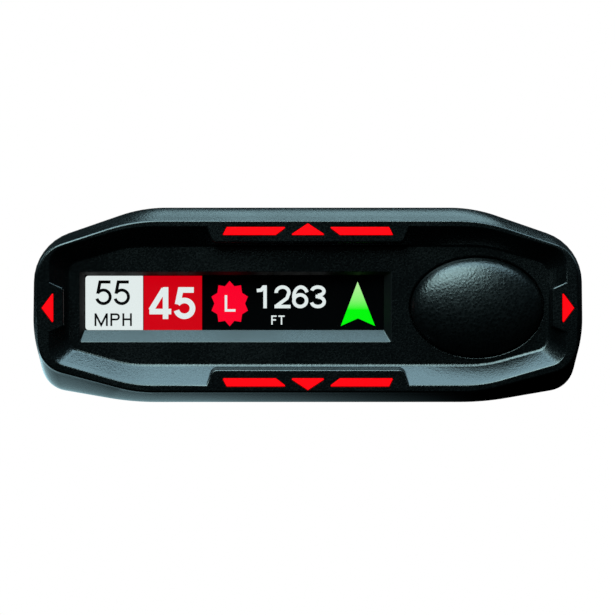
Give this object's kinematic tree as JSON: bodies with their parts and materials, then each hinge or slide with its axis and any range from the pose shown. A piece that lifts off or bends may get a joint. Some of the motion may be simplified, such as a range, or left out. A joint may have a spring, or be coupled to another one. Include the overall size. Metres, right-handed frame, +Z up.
{
  "type": "radar detector",
  "caption": "Low windshield radar detector with a recessed display face, a domed mute button, arrow lamps round the rim, a key row, a bracket dock and a dark rear laser window.",
  "frame": {"origin": "centre of the footprint, on the surface the detector lies on", "axes": "+X to the driver's right, +Y towards the road end, +Z up; the display face looks along -Y"},
  "size_m": [0.0904, 0.13, 0.032],
  "materials": {
    "housing_black": "fine spark-eroded grain, satin black",
    "face_black": "fine grain, satin black",
    "key_black": "soft satin black",
    "smoked_window": "smoked clear acrylic, polished",
    "red_lens": "lit red light pipe, flush face",
    "infrared_window": "dark red infrared-pass acrylic, polished",
    "circuit_board": "green solder mask over glass-fibre board",
    "display_glass": "organic light-emitting panel behind glass",
    "led_white": "white lamp body with yellow phosphor",
    "tinned_steel": "tin-plated sheet",
    "die_cast": "as-cast zinc-aluminium, matt",
    "plain_steel": "turned and passivated",
    "black_steel": "black oxide",
    "speaker_frame": "moulded black frame with paper cone",
    "antenna_ceramic": "unglazed ceramic patch",
    "clear_lens": "clear moulded lens",
    "flex_film": "amber polyimide film",
    "insert_plastic": "moulded dark insert",
    "gold_contact": "gold-plated spring contact",
    "chip_black": "epoxy package"
  },
  "bodies": {
    "housing": {"top_shell": "housing_black", "bottom_shell": "housing_black", "rear_cover": "housing_black", "front_bezel": "face_black", "display_window": "smoked_window", "top_light_pipe": "red_lens", "bottom_light_pipe": "red_lens", "left_light_pipe": "red_lens", "right_light_pipe": "red_lens", "laser_window": "infrared_window", "display_board": "circuit_board", "key_board": "circuit_board", "main_board": "circuit_board", "laser_sensor_board": "circuit_board", "display_panel": "display_glass", "top_lamp_left": "led_white", "top_lamp_centre": "led_white", "top_lamp_right": "led_white", "bottom_lamp_left": "led_white", "bottom_lamp_centre": "led_white", "bottom_lamp_right": "led_white", "left_lamp": "led_white", "right_lamp": "led_white", "mute_switch": "tinned_steel", "volume_down_switch": "tinned_steel", "volume_up_switch": "tinned_steel", "menu_switch": "tinned_steel", "brightness_switch": "tinned_steel", "power_switch": "tinned_steel", "usb_socket": "tinned_steel", "rf_shield": "tinned_steel", "road_horn": "die_cast", "cabin_horn": "die_cast", "rocker_pin": "plain_steel", "latch_spring": "plain_steel", "strike_plate": "plain_steel", "board_screw_1": "plain_steel", "board_screw_2": "plain_steel", "board_screw_3": "plain_steel", "board_screw_4": "plain_steel", "housing_screw_1": "black_steel", "housing_screw_2": "black_steel", "housing_screw_3": "black_steel", "housing_screw_4": "black_steel", "speaker": "speaker_frame", "gps_antenna": "antenna_ceramic", "laser_lens": "clear_lens", "display_flex": "flex_film", "display_carrier": "insert_plastic", "power_socket": "insert_plastic", "laser_holder": "insert_plastic", "power_contacts": "gold_contact", "processor": "chip_black"},
    "mute_dome": {"mute_dome": "face_black"},
    "menu_key": {"menu_key": "key_black"},
    "brightness_key": {"brightness_key": "key_black"},
    "power_key": {"power_key": "key_black"},
    "volume_rocker": {"volume_rocker": "key_black"},
    "mount_latch": {"mount_latch": "key_black"}
  },
  "joints": [
    {"name": "mute_press", "type": "slide", "parent": "housing", "child": "mute_dome", "axis": [0, 1, 0], "range_m": [0, 0.0008], "stiffness_N_per_m": 400},
    {"name": "menu_press", "type": "slide", "parent": "housing", "child": "menu_key", "axis": [0, 0, -1], "range_m": [0, 0.0006], "stiffness_N_per_m": 350},
    {"name": "brightness_press", "type": "slide", "parent": "housing", "child": "brightness_key", "axis": [0, 0, -1], "range_m": [0, 0.0006], "stiffness_N_per_m": 350},
    {"name": "power_press", "type": "slide", "parent": "housing", "child": "power_key", "axis": [0, 0, -1], "range_m": [0, 0.0006], "stiffness_N_per_m": 350},
    {"name": "volume_tilt", "type": "hinge", "parent": "housing", "child": "volume_rocker", "pos_m": [-0.01455, -0.045, 0.0284], "axis": [0, 1, 0], "range_deg": [-3.5, 3.5], "stiffness_Nm_per_rad": 0.06},
    {"name": "latch_press", "type": "slide", "parent": "housing", "child": "mount_latch", "axis": [0, 0, -1], "range_m": [0, 0.0016], "stiffness_N_per_m": 600, "deforming": ["latch_spring"]}
  ]
}
